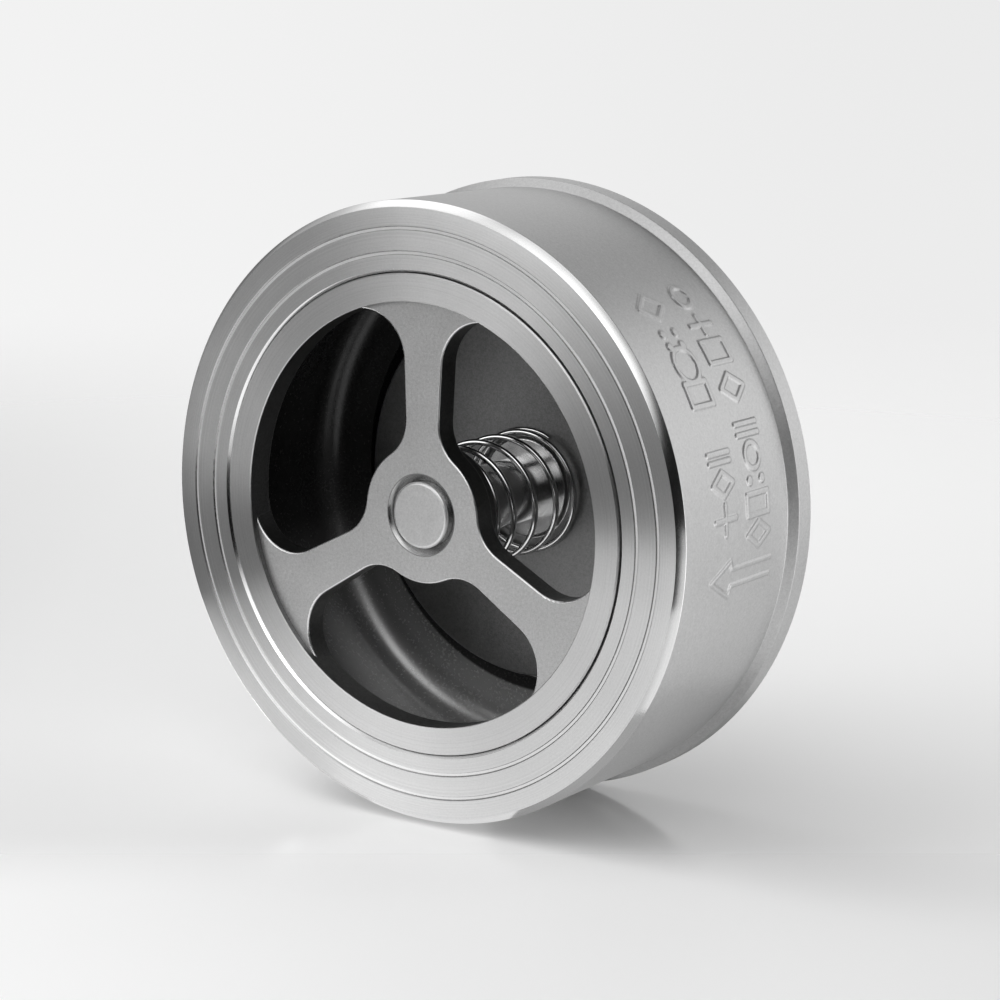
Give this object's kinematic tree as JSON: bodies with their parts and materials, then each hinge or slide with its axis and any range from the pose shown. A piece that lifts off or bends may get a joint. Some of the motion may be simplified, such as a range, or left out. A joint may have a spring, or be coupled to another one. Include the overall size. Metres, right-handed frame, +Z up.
{
  "type": "wafer check valve",
  "caption": "Spring-loaded disc check valve, clamped between pipe flanges: cast ring body, three-arm guide cage, sliding disc and stem, helical spring.",
  "frame": {"origin": "centre of the body, on the valve axis, half way between the two sealing faces", "axes": "Y is the valve axis: the outlet face with the guide cage looks along -Y, the inlet face along +Y, and flow runs towards -Y. +Z is up, with one cage arm within a degree of +Z"},
  "size_m": [0.164, 0.06, 0.164],
  "materials": {
    "body_casting": "stainless casting, blasted side, turned sealing faces",
    "cage_casting": "stainless investment casting, fine blasted grain, rim turned flush",
    "bush_steel": "turned",
    "spring_wire": "bright drawn spring wire",
    "disc_steel": "fine blasted front, turned centre boss",
    "stem_steel": "ground and polished, turned end face",
    "washer_steel": "rolled sheet",
    "nut_steel": "cold formed, bright"
  },
  "bodies": {
    "valve": {"valve_body": "body_casting", "guide_cage": "cage_casting", "guide_bush": "bush_steel"},
    "spring_turns": {"spring": "spring_wire"},
    "closing_disc": {"disc": "disc_steel", "stem": "stem_steel", "tab_washer": "washer_steel", "stem_nut": "nut_steel"}
  },
  "joints": [
    {"name": "disc_spin", "type": "hinge", "parent": "valve", "child": "spring_turns", "pos_m": [0, 0, 0], "axis": [0, 1, 0], "continuous": true},
    {"name": "disc_lift", "type": "slide", "parent": "spring_turns", "child": "closing_disc", "axis": [0, -1, 0], "range_m": [0, 0.025], "stiffness_N_per_m": 380, "springref_m": -0.023, "deforming": ["spring"]}
  ]
}
